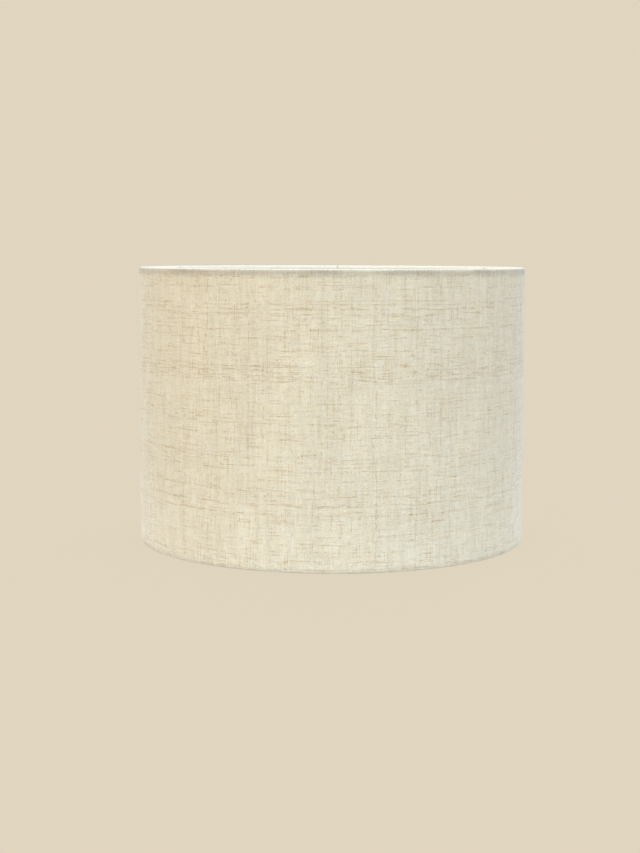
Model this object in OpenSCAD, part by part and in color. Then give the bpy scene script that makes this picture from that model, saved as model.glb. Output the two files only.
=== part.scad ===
// Drum lamp shade with rolled edges: linen on a stiff lining, two wire rings and a recessed fitter.
// Millimetres. The origin is the centre of the bottom edge's plane, +Z is up and -Y is the front.
// The seam is at the back, on +Y.

/* [Drum] */
// Outer diameter of the linen wall
drum_d = 350; // [250:1:450]
// Height from the bottom edge to the top edge
drum_h = 248; // [150:1:350]

/* [Sheet] */
// Thickness of the linen
cloth_t = 0.6; // [0.4:0.05:1]
// Thickness of the stiff lining sheet
lining_t = 0.4; // [0.3:0.05:0.6]
// Thickness of the double-sided tape
tape_t = 0.2; // [0.1:0.05:0.3]
// Width of the linen's lap at the seam
lap_w = 12; // [8:1:20]
// How far round its ring the hem is rolled, in degrees from the outside
hem_wrap = 285; // [240:5:300]
// Width of the slit in the hem at each spoke
slit_w = 7; // [5.5:0.5:10]

/* [Rings] */
// Diameter of the ring wire
ring_wire_d = 3.2; // [2.5:0.1:4]
// Width of the tape that holds the ring to the lining
ring_tape_w = 3; // [2:0.5:4]

/* [Fitter] */
// Diameter of the spoke wire
spoke_d = 3; // [2.5:0.1:3.5]
// Depth of the spokes' middle line below the top edge
spoke_drop = 22; // [15:1:40]
// Radius of the spoke's bend, to the wire's middle line
spoke_bend_r = 6; // [4:0.5:10]
// Outer diameter of the fitter ring
fitter_d = 54; // [54:1:64]
// Thickness of the fitter ring's sheet steel
fitter_t = 1.5; // [1:0.1:2]
// Hole through the fitter ring
fitter_bore_d = 42; // [40:0.5:44]
// Depth of the collar pressed down round the fitter's hole, below the flange
fitter_collar_h = 3; // [2:0.5:4]

/* [Reducer] */
// Diameter of the reducer's flange
reducer_d = 49; // [47:1:51]
// Thickness of the reducer's flange
reducer_t = 1.6; // [1.2:0.1:2]
// Hole through the reducer, for the lampholder
reducer_bore_d = 29; // [28:0.5:30]
// Depth of the reducer's walls below its flange
reducer_plug_h = 5; // [4:0.5:8]
// Thickness of the reducer's walls
reducer_wall_t = 1.5; // [1.2:0.1:2]
// Number of ribs between the reducer's walls
rib_n = 6; // [3:1:12]

/* [Hidden] */
// Free space between sheets that lie on each other
gap = 0.05;
// Free space between a ring and the hem that is rolled over it
hem_slack = 0.2;
// Free space between the reducer's outer wall and the fitter's hole
reducer_gap = 0.3;
// How far a welded wire sinks into what it is welded to
weld_sink = 0.2;
// Radius of a weld bead's own section
weld_bead_r = 0.7;
// How much thicker the wire is in a spoke's bend
bend_swell = 0.03;
// How far a cutting body reaches past the part that it cuts
past = 1;
// Facets of a round edge
$fn = 128;

outer_r = drum_d / 2;
wire_r = ring_wire_d / 2;
// Where the hem hugs the ring on the inside, and the taped lining's edge on the outside
hug_in = wire_r + hem_slack;
hug_out = wire_r + gap + tape_t + gap + lining_t + gap;
hem_r = (hug_in + hug_out) / 2;
hem_shift = (hug_out - hug_in) / 2;
hem_out_r = hem_r + cloth_t;
ring_r = outer_r - cloth_t - hug_out;
top_z = drum_h - hem_out_r;
bottom_z = hem_out_r;

cloth_in_r = outer_r - cloth_t;
lining_out_r = cloth_in_r - gap;
lining_in_r = lining_out_r - lining_t;

// The seam: a joggle lifts the lap clear of its tape
seam_a = 90;
lap_a = lap_w / outer_r * 180 / PI;
joggle_a = 1.5 / outer_r * 180 / PI;
tape_edge_a = 0.6 / outer_r * 180 / PI;
lap_in = outer_r + 2 * gap + tape_t;
lap_out = lap_in + cloth_t;
lining_lap_out = lining_in_r - 2 * gap - tape_t;
lining_lap_in = lining_lap_out - lining_t;
lining_lap_edge = 4;

// The fitter
spoke_r = spoke_d / 2;
spoke_z = drum_h - spoke_drop;
fitter_z = spoke_z + spoke_r - weld_sink;
fitter_top = fitter_z + fitter_t;
fitter_bore_r = fitter_bore_d / 2;
fitter_bend_in = 0.6;
fitter_bend_out = fitter_bend_in + fitter_t;
spoke_end_r = fitter_bore_r + fitter_t + 0.3;
spoke_angles = [270, 30, 150];

// A spoke leaves its ring at 45 degrees, downwards and inwards
leg_slope = 45;
spoke_root_r = ring_r - wire_r * cos(leg_slope) * 0.75;
spoke_root_z = top_z - wire_r * sin(leg_slope) * 0.75;
bend_tangent = spoke_bend_r * tan(leg_slope / 2);
leg_length = (spoke_root_z - spoke_z) / sin(leg_slope) - bend_tangent;
bend_r = spoke_root_r - (spoke_root_z - spoke_z) / tan(leg_slope) - bend_tangent;

reducer_out_r = fitter_bore_r - reducer_gap;
reducer_bore_r = reducer_bore_d / 2;
rib_t = 1.2;
// Cut along the sharp edges of the pressed and moulded rings
edge_cut = 0.3;

// A band round the Z axis with square edges
module band(r_in, r_out, z_low, z_high) {
    rotate_extrude()
        translate([r_in, z_low]) square([r_out - r_in, z_high - z_low]);
}

// The same band over part of a turn, from angle a_from
module band_part(r_in, r_out, z_low, z_high, a_from, a_span) {
    rotate([0, 0, a_from])
        rotate_extrude(angle = a_span)
            translate([r_in, z_low]) square([r_out - r_in, z_high - z_low]);
}

// The section of a strip curled round a wire: from straight outwards, over the top, to a_end
module curl(r_in, r_out, a_end) {
    far = 4 * r_out;
    difference() {
        circle(r = r_out);
        circle(r = r_in);
        polygon([[0, 0], [far * cos(a_end), far * sin(a_end)], [far, -far], [far, 0]]);
    }
}

// The section of the linen wall, with a hem rolled over each ring
module cover_section() {
    translate([cloth_in_r, bottom_z]) square([cloth_t, top_z - bottom_z]);
    translate([ring_r + hem_shift, top_z]) curl(hem_r, hem_out_r, hem_wrap);
    translate([ring_r + hem_shift, bottom_z]) mirror([0, 1]) curl(hem_r, hem_out_r, hem_wrap);
}

// A lapped sheet end at the seam: a strip that stands off the wall to leave a channel for its tape,
// and joins the wall by a joggle along one edge. With shift above 0 that is its right-hand edge.
module lap_strip(r_in, r_out, channel_in, channel_out, z_low, z_high, shift) {
    difference() {
        band_part(r_in, r_out, z_low, z_high, seam_a - lap_a / 2, lap_a);
        band_part(channel_in, channel_out, z_low - past, z_high + past, seam_a - lap_a / 2 + shift, lap_a);
    }
}

// The slits that let the spokes through the rolled hem of the top edge
module spoke_slits() {
    for (a = spoke_angles)
        rotate([0, 0, a])
            translate([ring_r - hem_out_r - past, -slit_w / 2, top_z - hem_out_r - past])
                cube([hem_out_r + past + hug_in / 2, slit_w, hem_out_r + past + wire_r / 2]);
}

module linen_cover() {
    color([0.87, 0.83, 0.74])
        union() {
            difference() {
                rotate_extrude() cover_section();
                spoke_slits();
            }
            lap_strip(outer_r - cloth_t / 2, lap_out, outer_r, lap_in, bottom_z, top_z, joggle_a);
        }
}

// The stiff lining, from ring to ring, with its own lap on the inside of the seam
module lining_panel() {
    lap_low = bottom_z + lining_lap_edge;
    lap_high = top_z - lining_lap_edge;
    color([0.95, 0.95, 0.92])
        union() {
            band(lining_in_r, lining_out_r, bottom_z, top_z);
            lap_strip(lining_lap_in, lining_in_r + lining_t / 2, lining_lap_out, lining_in_r,
                      lap_low, lap_high, -joggle_a);
        }
}

module wire_ring(z) {
    color([0.92, 0.92, 0.9])
        rotate_extrude()
            translate([ring_r, z]) circle(r = wire_r);
}

module top_ring() { wire_ring(top_z); }
module bottom_ring() { wire_ring(bottom_z); }

// Tape between the lining's edge and a ring, from height z_low up
module ring_tape(z_low) {
    color([0.85, 0.82, 0.7])
        band(ring_r + wire_r + gap, ring_r + wire_r + gap + tape_t, z_low, z_low + ring_tape_w);
}

module top_ring_tape() { ring_tape(top_z - ring_tape_w); }
module bottom_ring_tape() { ring_tape(bottom_z); }

// Tape under the linen's lap, clear of the joggle
module seam_tape() {
    color([0.85, 0.82, 0.7])
        band_part(outer_r + gap, outer_r + gap + tape_t, bottom_z, top_z,
                  seam_a - lap_a / 2 + joggle_a + tape_edge_a, lap_a - joggle_a - 2 * tape_edge_a);
}

// Tape between the lining and its lap, clear of the joggle
module lining_seam_tape() {
    color([0.85, 0.82, 0.7])
        band_part(lining_in_r - gap - tape_t, lining_in_r - gap,
                  bottom_z + lining_lap_edge, top_z - lining_lap_edge,
                  seam_a - lap_a / 2 + tape_edge_a, lap_a - joggle_a - 2 * tape_edge_a);
}

// One cranked spoke along +X: a leg that slopes down from the ring, a bend and a level run.
// The bend is a hair thicker than the wire and holds the ends of both straight stretches.
module spoke() {
    bend_over = 3;
    color([0.92, 0.92, 0.9])
        union() {
            translate([spoke_root_r, 0, spoke_root_z])
                rotate([0, -90 - leg_slope, 0])
                    cylinder(h = leg_length, r = spoke_r);
            translate([bend_r, 0, spoke_z + spoke_bend_r])
                rotate([90, 0, 0])
                    rotate([0, 0, -90 - bend_over])
                        rotate_extrude(angle = leg_slope + 2 * bend_over)
                            translate([spoke_bend_r, 0]) circle(r = spoke_r + bend_swell);
            translate([spoke_end_r, 0, spoke_z])
                rotate([0, 90, 0])
                    cylinder(h = bend_r - spoke_end_r, r = spoke_r);
        }
}

module spoke_front() { rotate([0, 0, spoke_angles[0]]) spoke(); }
module spoke_right() { rotate([0, 0, spoke_angles[1]]) spoke(); }
module spoke_left() { rotate([0, 0, spoke_angles[2]]) spoke(); }

// Weld metal: a bead round each spoke where it meets the ring, and a fillet along each side of it
// under the fitter
module spoke_welds() {
    bead_out = wire_r + weld_bead_r * 0.7;
    fillet_x = spoke_end_r + 2 * weld_bead_r;
    fillet_l = fitter_d / 2 - fillet_x - 2 * weld_bead_r;
    color([0.86, 0.86, 0.84])
        for (a = spoke_angles)
            rotate([0, 0, a]) {
                translate([ring_r - bead_out * cos(leg_slope), 0, top_z - bead_out * sin(leg_slope)])
                    rotate([0, -90 - leg_slope, 0])
                        rotate_extrude()
                            translate([spoke_r, 0]) circle(r = weld_bead_r);
                for (side = [-1, 1])
                    translate([fillet_x, side * spoke_r, fitter_z - weld_bead_r / 2])
                        rotate([0, 90, 0]) {
                            cylinder(h = fillet_l, r = weld_bead_r);
                            sphere(r = weld_bead_r);
                            translate([0, 0, fillet_l]) sphere(r = weld_bead_r);
                        }
            }
}

// The section of the fitter: a flange, a bend and a collar turned down round the hole
module fitter_section() {
    bend_x = fitter_bore_r + fitter_bend_out;
    bend_y = fitter_top - fitter_bend_out;
    translate([bend_x, fitter_z])
        polygon([[0, 0], [fitter_d / 2 - bend_x - edge_cut, 0], [fitter_d / 2 - bend_x, edge_cut],
                 [fitter_d / 2 - bend_x, fitter_t - edge_cut],
                 [fitter_d / 2 - bend_x - edge_cut, fitter_t], [0, fitter_t]]);
    translate([bend_x, bend_y])
        intersection() {
            difference() {
                circle(r = fitter_bend_out);
                circle(r = fitter_bend_in);
            }
            translate([-fitter_bend_out, 0]) square(fitter_bend_out);
        }
    translate([fitter_bore_r, fitter_z - fitter_collar_h])
        square([fitter_t, bend_y - fitter_z + fitter_collar_h]);
}

// The pressed ring on top of the spokes' ends
module fitter_ring() {
    color([0.92, 0.92, 0.9])
        rotate_extrude() fitter_section();
}

// The section of the reducer: a flange with two walls below it
module reducer_section() {
    low_z = fitter_top - reducer_plug_h;
    high_z = fitter_top + reducer_t;
    bore_wall_x = reducer_bore_r + reducer_wall_t;
    plug_wall_x = reducer_out_r - reducer_wall_t;
    rim_x = reducer_d / 2;
    polygon([
        [reducer_bore_r, low_z], [bore_wall_x, low_z], [bore_wall_x, fitter_top],
        [plug_wall_x, fitter_top], [plug_wall_x, low_z], [reducer_out_r - edge_cut, low_z],
        [reducer_out_r, low_z + edge_cut], [reducer_out_r, fitter_top], [rim_x, fitter_top],
        [rim_x, high_z - 2 * edge_cut], [rim_x - 2 * edge_cut, high_z],
        [reducer_bore_r + edge_cut, high_z], [reducer_bore_r, high_z - edge_cut]
    ]);
}

// The loose plastic ring, with ribs between its two walls
module reducer_ring() {
    rib_in = reducer_bore_r + reducer_wall_t / 2;
    rib_out = reducer_out_r - reducer_wall_t / 2;
    color([0.97, 0.97, 0.96])
        union() {
            rotate_extrude() reducer_section();
            for (i = [0 : rib_n - 1])
                rotate([0, 0, (i + 0.5) * 360 / rib_n])
                    translate([rib_in, -rib_t / 2, fitter_top - reducer_plug_h + edge_cut])
                        cube([rib_out - rib_in, rib_t, reducer_plug_h]);
        }
}

linen_cover();
lining_panel();
top_ring();
bottom_ring();
top_ring_tape();
bottom_ring_tape();
seam_tape();
lining_seam_tape();
spoke_front();
spoke_right();
spoke_left();
spoke_welds();
fitter_ring();
reducer_ring();
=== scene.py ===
"""Looks of a drum lamp shade: slubby linen laminated on a white lining and rolled over two wire rings.

Metres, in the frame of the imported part: the origin is the middle of the bottom edge's plane, +Z is up,
-Y is the front and the lapped seam is at the back, on +Y.
"""
import math

import bmesh
import bpy
import numpy as np
from mathutils import Matrix, Vector, noise


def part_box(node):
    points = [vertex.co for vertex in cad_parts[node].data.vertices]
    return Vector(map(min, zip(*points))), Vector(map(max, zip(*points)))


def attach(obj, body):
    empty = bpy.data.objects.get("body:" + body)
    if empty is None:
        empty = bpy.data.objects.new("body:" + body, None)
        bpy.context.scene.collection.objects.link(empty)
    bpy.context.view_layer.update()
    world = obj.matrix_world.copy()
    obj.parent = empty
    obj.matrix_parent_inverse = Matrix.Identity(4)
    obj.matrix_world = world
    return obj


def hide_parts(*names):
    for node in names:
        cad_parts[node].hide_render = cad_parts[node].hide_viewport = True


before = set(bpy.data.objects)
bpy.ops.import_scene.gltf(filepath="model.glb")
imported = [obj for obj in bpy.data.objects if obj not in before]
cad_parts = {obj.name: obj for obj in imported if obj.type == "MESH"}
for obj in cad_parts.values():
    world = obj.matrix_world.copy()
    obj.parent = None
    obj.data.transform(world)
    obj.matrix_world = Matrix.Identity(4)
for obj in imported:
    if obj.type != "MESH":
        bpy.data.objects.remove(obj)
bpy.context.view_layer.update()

MM = 0.001

# ---------------------------------------------------------------- places, worked out from the frame

drum_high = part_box("linen_cover")[1]
ring_low, ring_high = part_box("top_ring")
lining_low, lining_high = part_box("lining_panel")

DRUM_R = drum_high.x
DRUM_H = drum_high.z
CLOTH_T = 0.6 * MM
LINING_T = 0.4 * MM
TOP_Z = (ring_high.z + ring_low.z) / 2
ROLL_OUT = DRUM_H - TOP_Z  # outer radius of the hem's roll
ROLL_MID = ROLL_OUT - CLOTH_T / 2
ROLL_X = DRUM_R - ROLL_OUT  # radius of the circle along which the roll's centre runs
BOTTOM_Z = ROLL_OUT
WALL_H = TOP_Z - BOTTOM_Z
HEM_WRAP = math.radians(285)

SEAM = math.radians(90)
LAP_W = 12 * MM
LAP_LIFT = 0.9 * MM  # how far the lapped end stands off the wall
JOGGLE_W = 1.5 * MM
LAP_FADE = math.radians(75)  # the lap comes down to the wire this far round each roll
SPOKES = [math.radians(a) for a in (270, 30, 150)]
SLIT_W = 3.6 * MM  # half the width of the strip of cloth that a slit is cut in
SLIT_PULL = 9 * MM  # how far from a slit's middle the cloth is drawn along with its edges
SLIT_TIP = math.radians(138)  # where a slit starts, as an angle round the roll
SLIT_SIDE = math.radians(190)  # where it is wide enough for the weld bead

WALL_ROWS, ROLL_ROWS = 30, 22
COVER_STEP = 2.0 * MM  # from one column of the linen's mesh to the next
LINING_STEP = 2.5 * MM
JOGGLE_STEPS = 6
UNEVEN = 0.10 * MM  # height of the sheets' slight bumps
UNEVEN_SIZE = 90 * MM
EDGE_EASE = 25 * MM  # the bumps fade out this close to the rings
LOWEST = 0.35 * MM  # no point of the linen's middle surface comes closer to the floor


def smooth(low, high, x):
    """0 below low, 1 above high and an S-curve between them."""
    t = min(1.0, max(0.0, (x - low) / (high - low)))
    return t * t * (3 - 2 * t)


def wobble(x, y, z, size):
    """Smooth, repeatable unevenness from about -1 to 1, with bumps about size across."""
    return 1.6 * noise.noise(Vector((x, y, z)) / size)


# ---------------------------------------------------------------- sheets


def rolled_section():
    """The linen's section from its tucked end under the bottom ring to the one under the top ring.

    Each row says (kind, t): t runs 0 to 1 from the wall to the tucked end of a roll, or up the wall."""
    rows = [("bottom", 1 - i / ROLL_ROWS) for i in range(ROLL_ROWS)]
    rows += [("wall", i / WALL_ROWS) for i in range(WALL_ROWS + 1)]
    rows += [("top", (i + 1) / ROLL_ROWS) for i in range(ROLL_ROWS)]
    return rows


def section_point(kind, t, wrap):
    """(radius, height, outward direction in radius and height, length along the section) of a row."""
    if kind == "wall":
        return DRUM_R - CLOTH_T / 2, BOTTOM_Z + WALL_H * t, 1.0, 0.0, WALL_H * t
    a = wrap * t
    if kind == "top":
        c, s = math.cos(a), math.sin(a)
        return ROLL_X + ROLL_MID * c, TOP_Z + ROLL_MID * s, c, s, WALL_H + ROLL_MID * a
    c, s = math.cos(a), -math.sin(a)
    return ROLL_X + ROLL_MID * c, BOTTOM_Z + ROLL_MID * s, c, s, -ROLL_MID * a


def slit_half_width(angle):
    """Half the width of the V-shaped slit in the top hem at this angle round the roll, 0 above its tip."""
    if angle < SLIT_TIP:
        return 0.0
    tip_w, side_w, end_w = 0.4 * MM, 2.7 * MM, 3.3 * MM
    opened = smooth(SLIT_TIP, SLIT_SIDE, angle)
    flared = smooth(SLIT_SIDE, HEM_WRAP, angle)
    return tip_w + (side_w - tip_w) * opened + (end_w - side_w) * flared


def cover_columns(slits):
    """(places, where the joggle starts): places along the linen's length, from its inner end.

    There are extra ones where the sheet bends and beside the slits."""
    length = 2 * math.pi * DRUM_R + LAP_W - JOGGLE_W
    joggle_at = 2 * math.pi * DRUM_R - JOGGLE_W
    places = set(np.linspace(0, length, int(length / COVER_STEP) + 1))
    places |= {joggle_at + JOGGLE_W * i / JOGGLE_STEPS for i in range(JOGGLE_STEPS + 1)}
    places |= {length - 0.5 * MM, length - 0.2 * MM}
    for middle in slits:
        places = {p for p in places if abs(p - middle) >= SLIT_W + 0.3 * MM}
        places |= {middle + side * SLIT_W * i / 4 for side in (-1, 1) for i in range(5)}
    return sorted(places), joggle_at


def make_cover():
    """One strip of linen, wrapped from its inner end under the lap, all the way round and over itself."""
    start = SEAM - LAP_W / 2 / DRUM_R + JOGGLE_W / DRUM_R
    slits = [((spoke - start) % (2 * math.pi)) * DRUM_R for spoke in SPOKES]
    columns, joggle_at = cover_columns(slits)
    rows = rolled_section()
    points, uvs = [], []
    for u in columns:
        away = u - min(slits, key=lambda m: abs(u - m))
        angle = start + u / DRUM_R
        ragged = 0.02 * wobble(u, 3.1, 0.2, 17 * MM) + 0.012 * wobble(u, 1.7, 5.0, 5 * MM)
        wrap = HEM_WRAP * (1 + ragged)
        lift_u = LAP_LIFT * smooth(joggle_at, joggle_at + JOGGLE_W, u)
        for kind, t in rows:
            r, z, out_r, out_z, s = section_point(kind, t, wrap)
            shift = 0.0
            if kind == "top" and abs(away) < SLIT_PULL:
                half = slit_half_width(wrap * t)
                if half > 0:
                    outside = (SLIT_PULL - abs(away)) / (SLIT_PULL - SLIT_W)
                    share = min(1.0, abs(away) / SLIT_W, outside)
                    shift = (half - SLIT_W) * math.copysign(share, away)
            lift = lift_u
            if kind == "wall":
                ease = smooth(0.0, EDGE_EASE, min(z - BOTTOM_Z, TOP_Z - z))
                lift += UNEVEN * ease * wobble(u, z, 2.0, UNEVEN_SIZE)
            else:
                lift *= 1 - smooth(0.0, LAP_FADE, wrap * t)
                body = smooth(0.03, 0.15, t)
                lift += UNEVEN * body * wobble(u, t * 5 * MM, 9.0, 6 * MM)
                lift += 0.05 * MM * body * wobble(u, t * 4 * MM, 4.0, 2.4 * MM)
            radius = r + out_r * lift
            theta = angle + shift / DRUM_R
            height = max(z + out_z * lift, LOWEST)
            points.append((radius * math.cos(theta), radius * math.sin(theta), height))
            uvs.append((u, s))
    n = len(rows)
    faces = []
    under = LAP_W - JOGGLE_W
    for i in range(len(columns) - 1):
        u_mid = (columns[i] + columns[i + 1]) / 2
        in_slit = min(abs(u_mid - m) for m in slits) < SLIT_W
        for k in range(n - 1):
            a, b = rows[k], rows[k + 1]
            if in_slit and a[0] == "top" and slit_half_width(HEM_WRAP * a[1]) > 0:
                continue
            if u_mid < under and (a[0] != "wall" or b[0] != "wall"):
                continue
            v = i * n + k
            faces.append((v, v + n, v + n + 1, v + 1))
    return mesh_object("linen_wall", points, faces, uvs, CLOTH_T)


def make_lining():
    """The white lining sheet: its inner lapped end, a joggle and the full turn behind the linen."""
    wall_r = DRUM_R - CLOTH_T - 0.05 * MM - LINING_T / 2
    step_in = 0.7 * MM  # how far the lapped end lies inside the rest
    length = 2 * math.pi * wall_r + LAP_W - 0.3 * JOGGLE_W
    start = SEAM - LAP_W / 2 / DRUM_R
    lap_end = LAP_W - JOGGLE_W
    places = set(np.linspace(0, length, int(length / LINING_STEP) + 1))
    places |= {lap_end + JOGGLE_W * i / JOGGLE_STEPS for i in range(JOGGLE_STEPS + 1)}
    columns = sorted(places)
    low, high = lining_low.z + 0.05 * MM, lining_high.z - 0.05 * MM
    lap_short = 4 * MM  # the lapped end stops this far from the sheet's upper and lower edges
    levels = [low, *np.linspace(low + lap_short, high - lap_short, WALL_ROWS), high]
    points, uvs, faces = [], [], []
    for u in columns:
        drop = step_in * (1 - smooth(lap_end, lap_end + JOGGLE_W, u))
        for z in levels:
            ease = smooth(0.0, EDGE_EASE, min(z - low, high - z))
            radius = wall_r - drop + UNEVEN * ease * wobble(u, z, 2.0, UNEVEN_SIZE)
            theta = start + u / wall_r
            points.append((radius * math.cos(theta), radius * math.sin(theta), z))
            uvs.append((u, z))
    n = len(levels)
    for i in range(len(columns) - 1):
        in_lap = (columns[i] + columns[i + 1]) / 2 < LAP_W
        for k in range(n - 1):
            if in_lap and k in (0, n - 2):
                continue
            v = i * n + k
            faces.append((v, v + n, v + n + 1, v + 1))
    return mesh_object("lining_sheet", points, faces, uvs, LINING_T)


def mesh_object(name, points, faces, uvs, thickness):
    """A smooth sheet from its middle surface, given its thickness on both sides of it."""
    mesh = bpy.data.meshes.new(name)
    mesh.from_pydata(points, [], faces)
    layer = mesh.uv_layers.new(name="cloth")
    index = np.zeros(len(mesh.loops), np.int32)
    mesh.loops.foreach_get("vertex_index", index)
    layer.data.foreach_set("uv", np.array(uvs, np.float32)[index].ravel())
    mesh.polygons.foreach_set("use_smooth", np.ones(len(mesh.polygons), bool))
    mesh.update()
    piece = bpy.data.objects.new(name, mesh)
    bpy.context.scene.collection.objects.link(piece)
    drop_loose_points(mesh)
    thick = piece.modifiers.new("thickness", "SOLIDIFY")
    thick.thickness = thickness
    thick.offset = 0
    thick.use_even_offset = True
    thick.use_rim = True
    return piece


def drop_loose_points(mesh):
    """Removes the points that no face uses."""
    work = bmesh.new()
    work.from_mesh(mesh)
    bmesh.ops.delete(work, geom=[v for v in work.verts if not v.link_faces], context="VERTS")
    work.to_mesh(mesh)
    work.free()


# ---------------------------------------------------------------- materials


class Graph:
    """Short names for the nodes of one material."""

    def __init__(self, name):
        self.material = bpy.data.materials.new(name)
        self.material.use_nodes = True
        self.tree = self.material.node_tree
        self.shader = self.tree.nodes["Principled BSDF"]

    def node(self, kind, **settings):
        made = self.tree.nodes.new("ShaderNode" + kind)
        for key, value in settings.items():
            setattr(made, key, value)
        return made

    def plug(self, value, socket):
        if isinstance(value, bpy.types.NodeSocket):
            self.tree.links.new(value, socket)
        elif value is not None:
            socket.default_value = value

    def math(self, operation, a, b=None, c=None, clamp=False):
        made = self.node("Math", operation=operation, use_clamp=clamp)
        for socket, value in zip(made.inputs, (a, b, c)):
            self.plug(value, socket)
        return made.outputs[0]

    def vector(self, x=0.0, y=0.0, z=0.0):
        made = self.node("CombineXYZ")
        for socket, value in zip(made.inputs, (x, y, z)):
            self.plug(value, socket)
        return made.outputs[0]

    def noise(self, vector, scale, detail=2.0, rough=0.5, dims="3D"):
        made = self.node("TexNoise", noise_dimensions=dims)
        self.plug(vector, made.inputs["Vector"])
        made.inputs["Scale"].default_value = scale
        made.inputs["Detail"].default_value = detail
        made.inputs["Roughness"].default_value = rough
        return made.outputs["Fac"]

    def random(self, vector):
        made = self.node("TexWhiteNoise", noise_dimensions="2D")
        self.plug(vector, made.inputs["Vector"])
        return made.outputs["Value"]

    def product(self, first, *others):
        for other in others:
            first = self.math("MULTIPLY", first, other)
        return first

    def stretched(self, u, s, by_u, by_s):
        """A place for a flat noise whose features are 1 / by_u long and 1 / by_s high."""
        return self.vector(self.math("MULTIPLY", u, by_u), self.math("MULTIPLY", s, by_s))

    def ramp(self, value, low, high, out_low=0.0, out_high=1.0):
        made = self.node("MapRange", interpolation_type="SMOOTHSTEP")
        self.plug(value, made.inputs["Value"])
        ends = {"From Min": low, "From Max": high, "To Min": out_low, "To Max": out_high}
        for name, number in ends.items():
            self.plug(number, made.inputs[name])
        return made.outputs["Result"]

    def mix(self, factor, a, b, kind="MIX"):
        made = self.node("Mix", data_type="RGBA", blend_type=kind)
        self.plug(factor, made.inputs[0])
        self.plug(a, made.inputs[6])
        self.plug(b, made.inputs[7])
        return made.outputs[2]

    def bump(self, height, distance):
        made = self.node("Bump")
        made.inputs["Strength"].default_value = 1.0
        made.inputs["Distance"].default_value = distance
        self.plug(height, made.inputs["Height"])
        self.plug(made.outputs["Normal"], self.shader.inputs["Normal"])

    def uv(self):
        split = self.node("SeparateXYZ")
        self.plug(self.node("UVMap", uv_map="cloth").outputs["UV"], split.inputs[0])
        return split.outputs[0], split.outputs[1]

    def place(self):
        return self.node("TexCoord").outputs["Object"]


def rgb(r, g, b):
    return (r, g, b, 1.0)


WARP = 0.90 * MM  # from one upright thread to the next
WEFT = 0.80 * MM  # from one level thread to the next


def thread(g, along, index, seed, long_rate, short_rate, tone_rate):
    """One set of yarns: (tone, slub), both 0 to 1, at a place along the yarn with this index.

    The tone is the ordinary unevenness of the yarn's shade. The slub is 1 on the brown of a thick place."""
    lane = g.math("MULTIPLY_ADD", index, 7.31, seed)

    def wave(rate, shift, rough):
        where = g.vector(g.math("MULTIPLY", along, rate), g.math("ADD", lane, shift))
        return g.noise(where, 1.0, 2.0, rough, "2D")

    long_slub = wave(long_rate, 0.0, 0.55)
    short_slub = wave(short_rate, 5.5, 0.6)
    tone = wave(tone_rate, 2.2, 0.6)
    own = g.random(g.vector(index, seed))
    bias = g.math("MULTIPLY_ADD", own, 0.24, -0.12)
    streak = g.ramp(g.math("ADD", long_slub, bias), 0.50, 0.84)
    knot = g.ramp(g.math("ADD", short_slub, bias), 0.60, 0.84)
    knot = g.product(knot, g.math("MULTIPLY", long_slub, 1.3), 0.95)
    slub = g.math("MULTIPLY_ADD", streak, 0.62, knot, clamp=True)
    tone = g.math("MULTIPLY_ADD", own, 0.22, g.math("ADD", tone, -0.11))
    return g.ramp(tone, 0.30, 0.70), slub


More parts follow.
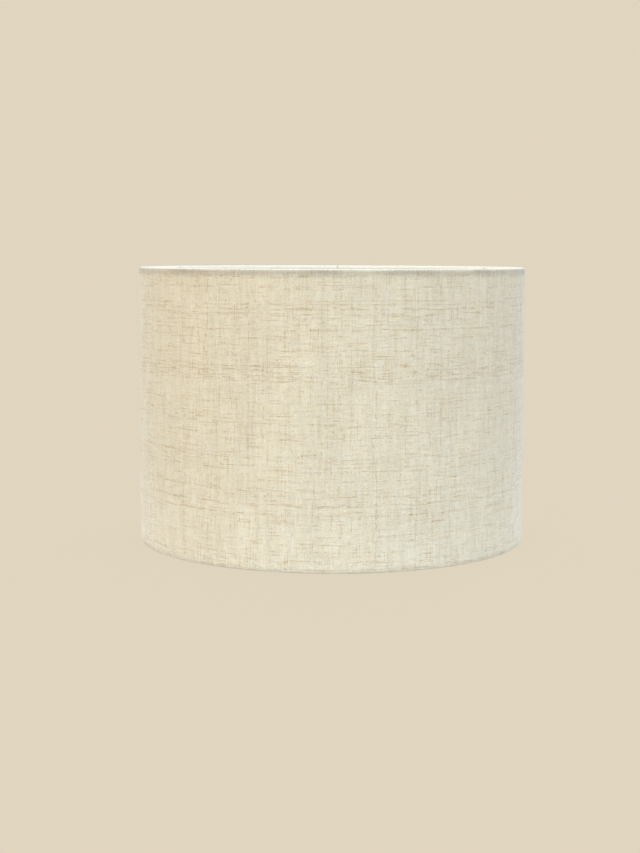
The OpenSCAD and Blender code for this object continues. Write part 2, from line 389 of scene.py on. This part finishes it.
def linen_material():
    """Plain weave of undyed yarns with brown slubs and husk specks, with painted shade between the threads
    and along the hems and a painted highlight on the top roll's crown.
    """
    g = Graph("natural_linen")
    u, s = g.uv()

    # the threads wander: u counts the upright ones (warp) and s the level ones (weft)
    sway_u = g.noise(g.vector(g.math("MULTIPLY", u, 0.3), s), 30.0)
    sway_s = g.noise(g.vector(u, g.math("MULTIPLY", s, 0.3), 0.5), 30.0)
    wander_u = g.math("MULTIPLY_ADD", sway_u, 1.6 * MM, u)
    wander_u = g.math("MULTIPLY_ADD", g.noise(g.vector(u, s, 7.0), 210.0), 0.9 * MM, wander_u)
    wander_s = g.math("MULTIPLY_ADD", sway_s, 2.0 * MM, s)
    wander_s = g.math("MULTIPLY_ADD", g.noise(g.vector(u, s, 9.0), 170.0), 1.0 * MM, wander_s)
    warp_place = g.math("DIVIDE", wander_u, WARP)
    weft_place = g.math("DIVIDE", wander_s, WEFT)
    warp_i, weft_i = g.math("FLOOR", warp_place), g.math("FLOOR", weft_place)
    warp_off = g.math("ABSOLUTE", g.math("SUBTRACT", g.math("FRACT", warp_place), 0.5))
    weft_off = g.math("ABSOLUTE", g.math("SUBTRACT", g.math("FRACT", weft_place), 0.5))
    warp_tone, warp_slub = thread(g, s, warp_i, 0.37, 40.0, 230.0, 75.0)
    weft_tone, weft_slub = thread(g, u, weft_i, 3.91, 46.0, 150.0, 80.0)
    # 1 where the weft passes over the warp, 0 where it passes under
    over = g.math("MODULO", g.math("ABSOLUTE", g.math("ADD", warp_i, weft_i)), 2.0)

    deep = rgb(0.836, 0.756, 0.584)
    pale = rgb(0.906, 0.871, 0.768)
    tan = rgb(0.490, 0.315, 0.120)
    husk = rgb(0.26, 0.17, 0.09)
    warp_colour = g.mix(warp_tone, deep, pale)
    warp_colour = g.mix(g.math("MULTIPLY", warp_slub, 0.72), warp_colour, tan)
    weft_colour = g.mix(weft_tone, deep, pale)
    weft_colour = g.mix(weft_slub, weft_colour, tan)
    cloth = g.mix(g.math("MULTIPLY_ADD", over, 0.4, 0.3), warp_colour, weft_colour)

    # husk specks, one thread crossing in size, and the slight unevenness from one crossing to the next
    cell = g.random(g.vector(warp_i, weft_i))
    speck = g.math("GREATER_THAN", cell, 0.9993)
    cloth = g.mix(g.math("MULTIPLY", speck, 0.6), cloth, husk)

    # painted shade in the gaps between threads
    painted_gap_shade = g.math("MAXIMUM", g.ramp(warp_off, 0.34, 0.50), g.ramp(weft_off, 0.34, 0.50))
    cloth = g.mix(g.math("MULTIPLY", painted_gap_shade, 0.22), cloth, rgb(0.46, 0.38, 0.25))

    # unevenness of the shade, from broad patches down to single hairs
    broad = g.noise(g.vector(u, g.math("MULTIPLY", s, 0.35)), 24.0, 4.0, 0.65)
    band_w = g.noise(g.stretched(u, s, 160.0, 14.0), 1.0, 2.0, 0.6, "2D")
    band_h = g.noise(g.stretched(u, s, 14.0, 190.0), 1.0, 2.0, 0.6, "2D")
    fine = g.noise(g.vector(u, s, 4.0), 850.0, 2.0, 0.6)
    warp_hair = g.noise(g.stretched(u, s, 6000.0, 500.0), 1.0, 2.0, 0.6, "2D")
    weft_hair = g.noise(g.stretched(u, s, 500.0, 6000.0), 1.0, 2.0, 0.6, "2D")
    shade = g.product(
        g.ramp(broad, 0.25, 0.75, 0.968, 1.032),
        g.math("MULTIPLY_ADD", cell, 0.08, 0.96),
        g.ramp(band_w, 0.25, 0.75, 0.968, 1.028),
        g.ramp(band_h, 0.25, 0.75, 0.985, 1.015),
        g.ramp(fine, 0.2, 0.8, 0.93, 1.06),
        g.ramp(g.mix(over, warp_hair, weft_hair), 0.25, 0.75, 0.94, 1.05))

    # the hems: painted shade just below the top ring and along the bottom edge, a cooler painted shade
    # under the bottom roll, and a painted highlight over the top ring's crown
    ragged = g.noise(g.vector(u, g.math("MULTIPLY", s, 0.6), 2.0), 600.0)
    ragged_height = g.math("ADD", s, g.math("MULTIPLY_ADD", ragged, 2.6 * MM, -1.3 * MM))
    painted_top_shade = g.ramp(ragged_height, WALL_H - 6.8 * MM, WALL_H + 1.6 * MM)
    painted_bottom_shade = g.ramp(ragged_height, 3.4 * MM, -0.6 * MM)
    painted_underside_shade = g.math("MULTIPLY", g.ramp(s, -0.2 * MM, -2.6 * MM), g.ramp(s, -5.5 * MM, -4.0 * MM))
    painted_crown_highlight = g.ramp(ragged_height, WALL_H + 1.6 * MM, WALL_H + 2.6 * MM)
    painted_hem_shade = g.math("MULTIPLY", painted_top_shade, g.math("SUBTRACT", 1.0, painted_crown_highlight))
    patchy_painted_shade = g.ramp(g.noise(g.vector(u, 0.0, 6.0), 25.0), 0.3, 0.7, 0.20, 0.42)
    # the shade factor takes on the painted shade of the hems here
    shade = g.product(
        shade,
        g.math("SUBTRACT", 1.0, g.math("MULTIPLY", painted_hem_shade, patchy_painted_shade)),
        g.math("SUBTRACT", 1.0, g.math("MULTIPLY", painted_bottom_shade, 0.09)))
    cloth = g.mix(1.0, cloth, g.vector(shade, shade, shade), "MULTIPLY")
    # cool painted shade on the underside of the bottom roll
    cloth = g.mix(painted_underside_shade, cloth, rgb(0.80, 0.90, 1.0), "MULTIPLY")
    # painted highlight over the crown of the top roll
    cloth = g.mix(g.math("MULTIPLY", painted_crown_highlight, 0.65), cloth, rgb(0.92, 0.90, 0.83))
    g.plug(cloth, g.shader.inputs["Base Color"])

    # relief: round threads, over and under each other, thicker where they are slubbed
    warp_round, weft_round = (
        g.math("SUBTRACT", 1.0, g.math("POWER", g.math("MULTIPLY", off, 2.0), 2.0))
        for off in (warp_off, weft_off))
    warp_high = g.math("MULTIPLY", warp_round, g.math("SUBTRACT", 1.25, over))
    weft_high = g.math("MULTIPLY", weft_round, g.math("ADD", 0.25, over))
    relief = g.math("MAXIMUM", warp_high, weft_high)
    relief = g.math("MULTIPLY_ADD", g.math("MAXIMUM", warp_slub, weft_slub), 0.5, relief)
    relief = g.math("MULTIPLY_ADD", fine, 0.6, relief)
    g.bump(relief, 0.16 * MM)
    g.shader.inputs["Roughness"].default_value = 0.92
    g.shader.inputs["Specular IOR Level"].default_value = 0.15
    g.shader.inputs["Sheen Weight"].default_value = 0.50
    g.shader.inputs["Sheen Roughness"].default_value = 0.27
    g.shader.inputs["Sheen Tint"].default_value = rgb(1.0, 1.0, 1.0)
    return g.material


def lining_material():
    """White PVC sheet: satin, very slightly uneven, with the weave behind it just showing."""
    g = Graph("lining_pvc")
    u, z = g.uv()
    cloudy = g.noise(g.vector(u, z), 30.0, 3.0, 0.55)
    weft = g.noise(g.stretched(u, z, 70.0, 1300.0), 1.0, dims="2D")
    warp = g.noise(g.stretched(u, z, 1250.0, 70.0), 1.0, dims="2D")
    weave = g.math("MAXIMUM", weft, warp)
    show = g.ramp(weave, 0.55, 0.80)
    base = g.mix(g.ramp(cloudy, 0.3, 0.7), rgb(0.90, 0.875, 0.80), rgb(0.93, 0.91, 0.85))
    base = g.mix(g.math("MULTIPLY", show, 0.14), base, rgb(0.70, 0.62, 0.48))
    g.plug(base, g.shader.inputs["Base Color"])
    fine = g.noise(g.place(), 900.0)
    relief = g.math("MULTIPLY_ADD", weave, 0.8, g.math("MULTIPLY", fine, 0.5))
    g.bump(relief, 0.05 * MM)
    g.plug(g.ramp(cloudy, 0.2, 0.8, 0.38, 0.52), g.shader.inputs["Roughness"])
    return g.material


def painted_wire_material():
    """White powder coat on steel: slight orange peel, a little grime and thin spots."""
    g = Graph("white_powder_coat")
    place = g.place()
    peel = g.noise(place, 1400.0)
    patches = g.noise(place, 120.0, 3.0, 0.6)
    base = g.mix(g.ramp(patches, 0.35, 0.75), rgb(0.66, 0.655, 0.635), rgb(0.58, 0.57, 0.53))
    g.plug(base, g.shader.inputs["Base Color"])
    g.bump(peel, 0.03 * MM)
    g.plug(g.ramp(patches, 0.3, 0.7, 0.34, 0.50), g.shader.inputs["Roughness"])
    return g.material


def plastic_material():
    """White moulded plastic with faint flow marks."""
    g = Graph("white_plastic")
    place = g.place()
    flow = g.noise(place, 60.0, 3.0, 0.6)
    grain = g.noise(place, 2200.0, 1.0, 0.5)
    base = g.mix(g.ramp(flow, 0.3, 0.7), rgb(0.58, 0.58, 0.565), rgb(0.53, 0.53, 0.51))
    g.plug(base, g.shader.inputs["Base Color"])
    g.bump(grain, 0.02 * MM)
    g.plug(g.ramp(flow, 0.3, 0.7, 0.28, 0.40), g.shader.inputs["Roughness"])
    return g.material


def tape_material():
    """Yellowish translucent tape with fine air pockets."""
    g = Graph("double_sided_tape")
    bubbles = g.noise(g.place(), 900.0, 3.0, 0.6)
    base = g.mix(g.ramp(bubbles, 0.4, 0.7), rgb(0.74, 0.69, 0.52), rgb(0.82, 0.78, 0.64))
    g.plug(base, g.shader.inputs["Base Color"])
    g.bump(bubbles, 0.03 * MM)
    g.shader.inputs["Roughness"].default_value = 0.45
    return g.material


def dress(name, material):
    """Gives a CAD node its material."""
    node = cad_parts[name]
    node.data.materials.clear()
    node.data.materials.append(material)


cover = make_cover()
cover.data.materials.append(linen_material())
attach(cover, "shade")
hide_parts("linen_cover")

lining = make_lining()
lining.data.materials.append(lining_material())
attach(lining, "shade")
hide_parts("lining_panel")

paint = painted_wire_material()
for name in ("top_ring", "bottom_ring", "spoke_front", "spoke_right", "spoke_left", "spoke_welds",
             "fitter_ring"):
    dress(name, paint)
tape = tape_material()
for name in ("top_ring_tape", "bottom_ring_tape", "seam_tape", "lining_seam_tape"):
    dress(name, tape)
dress("reducer_ring", plastic_material())

# ---------------------------------------------------------------- stage, light and camera

BACKDROP = rgb(0.752, 0.668, 0.525)
AMBIENT = rgb(1.0, 1.0, 1.0)
AMBIENT_POWER = 0.8

# what the camera sees of the floor: a glow of the backdrop's colour, and a matt surface for the faint shade
FLOOR_R = 30.0
FLOOR_GLOW = 0.932
FLOOR_MATT = rgb(0.0346, 0.0306, 0.0240)
PLAIN_FROM, PLAIN_TO = 0.32, 0.85  # past the second distance the floor looks the same as the backdrop

# what the floor lights the drum with: warm light all over, and a bluish pool round the drum's axis
BOUNCE = rgb(1.0, 0.785, 0.48)
BOUNCE_POWER = 0.733
POOL = rgb(0.58, 0.80, 1.0)
POOL_POWER = 0.411
POOL_FROM, POOL_TO = 0.15, 0.60


def make_floor():
    """A plain pale disc that fades into the backdrop, and lights the drum from below."""
    bpy.ops.mesh.primitive_circle_add(vertices=128, radius=FLOOR_R, fill_type="NGON", location=(0, 0, 0))
    floor = bpy.context.object
    floor.name = "floor"
    g = Graph("pale_floor")
    g.tree.nodes.remove(g.shader)
    from_axis = g.node("VectorMath", operation="LENGTH")
    g.plug(g.place(), from_axis.inputs[0])
    distance = from_axis.outputs["Value"]

    def glow(colour, strength):
        made = g.node("Emission")
        made.inputs["Color"].default_value = colour
        g.plug(strength, made.inputs["Strength"])
        return made.outputs[0]

    def join(kind, *parts):
        made = g.node(kind)
        for part, socket in zip(parts, made.inputs):
            g.plug(part, socket)
        return made.outputs[0]

    matt = g.node("BsdfDiffuse")
    matt.inputs["Color"].default_value = FLOOR_MATT
    near = join("AddShader", glow(BACKDROP, FLOOR_GLOW), matt.outputs[0])
    seen = join("MixShader", g.ramp(distance, PLAIN_FROM, PLAIN_TO), near, glow(BACKDROP, 1.0))
    pool = glow(POOL, g.ramp(distance, POOL_FROM, POOL_TO, POOL_POWER, 0.0))
    lit = join("AddShader", glow(BOUNCE, BOUNCE_POWER), pool)
    choice = join("MixShader", g.node("LightPath").outputs["Is Camera Ray"], lit, seen)
    g.plug(choice, g.tree.nodes["Material Output"].inputs["Surface"])
    floor.data.materials.append(g.material)


def make_world():
    """Even studio light from all round, seen by the camera as the plain backdrop."""
    world = bpy.data.worlds.new("studio")
    bpy.context.scene.world = world
    world.use_nodes = True
    tree = world.node_tree
    tree.nodes.clear()
    out = tree.nodes.new("ShaderNodeOutputWorld")
    seen = tree.nodes.new("ShaderNodeBackground")
    light = tree.nodes.new("ShaderNodeBackground")
    path = tree.nodes.new("ShaderNodeLightPath")
    mix = tree.nodes.new("ShaderNodeMixShader")
    seen.inputs["Color"].default_value = BACKDROP
    light.inputs["Color"].default_value = AMBIENT
    light.inputs["Strength"].default_value = AMBIENT_POWER
    tree.links.new(path.outputs["Is Camera Ray"], mix.inputs[0])
    tree.links.new(light.outputs[0], mix.inputs[1])
    tree.links.new(seen.outputs[0], mix.inputs[2])
    tree.links.new(mix.outputs[0], out.inputs[0])


def softbox(name, place, size, power, colour):
    """A square area light that faces the middle of the drum."""
    data = bpy.data.lights.new(name, "AREA")
    data.shape = "SQUARE"
    data.size = size
    data.energy = power
    data.color = colour
    lamp = bpy.data.objects.new(name, data)
    lamp.location = place
    lamp.rotation_mode = "QUATERNION"
    lamp.rotation_quaternion = (Vector((0, 0, DRUM_H / 2)) - Vector(place)).to_track_quat("-Z", "Y")
    lamp.visible_camera = False
    bpy.context.scene.collection.objects.link(lamp)


def make_lights():
    """A neutral key, a blue fill, two from behind for the cool silhouettes and one from the top."""
    softbox("key_left", (-1.1, -2.1, 0.9), 1.2, 15.2, (0.95, 1.0, 0.94))
    softbox("fill_right", (1.7, -1.6, 0.7), 1.2, 14.6, (0.27, 0.61, 0.96))
    softbox("rim_right", (1.25, 2.05, 0.6), 1.0, 26.0, (0.44, 0.73, 1.0))
    softbox("rim_left", (-1.25, 2.05, 0.6), 1.0, 20.0, (0.58, 0.81, 1.0))
    top = bpy.data.lights.new("top", "SUN")
    top.energy = 1.5
    top.angle = math.radians(20)
    lamp = bpy.data.objects.new("top", top)
    bpy.context.scene.collection.objects.link(lamp)


def make_camera():
    """Just above the top edge's level, about eight radii in front of the axis, looking slightly down."""
    distance, height = 8.0725 * DRUM_R, 1.4956 * DRUM_R
    pitch, yaw, roll = math.radians(-4.876), math.radians(0.431), math.radians(0.14)
    data = bpy.data.cameras.new("camera")
    data.sensor_width = 36.0
    data.lens = 65.06
    data.shift_y = -0.0505
    data.clip_end = 100.0
    camera = bpy.data.objects.new("camera", data)
    turn = Matrix.Rotation(yaw, 4, "Z") @ Matrix.Rotation(math.radians(90) + pitch, 4, "X")
    camera.matrix_world = Matrix.Translation((0, -distance, height)) @ turn @ Matrix.Rotation(roll, 4, "Z")
    bpy.context.scene.collection.objects.link(camera)
    bpy.context.scene.camera = camera


make_world()
make_floor()
make_lights()
make_camera()
bpy.context.scene.view_settings.view_transform = "Standard"
bpy.context.scene.view_settings.look = "None"
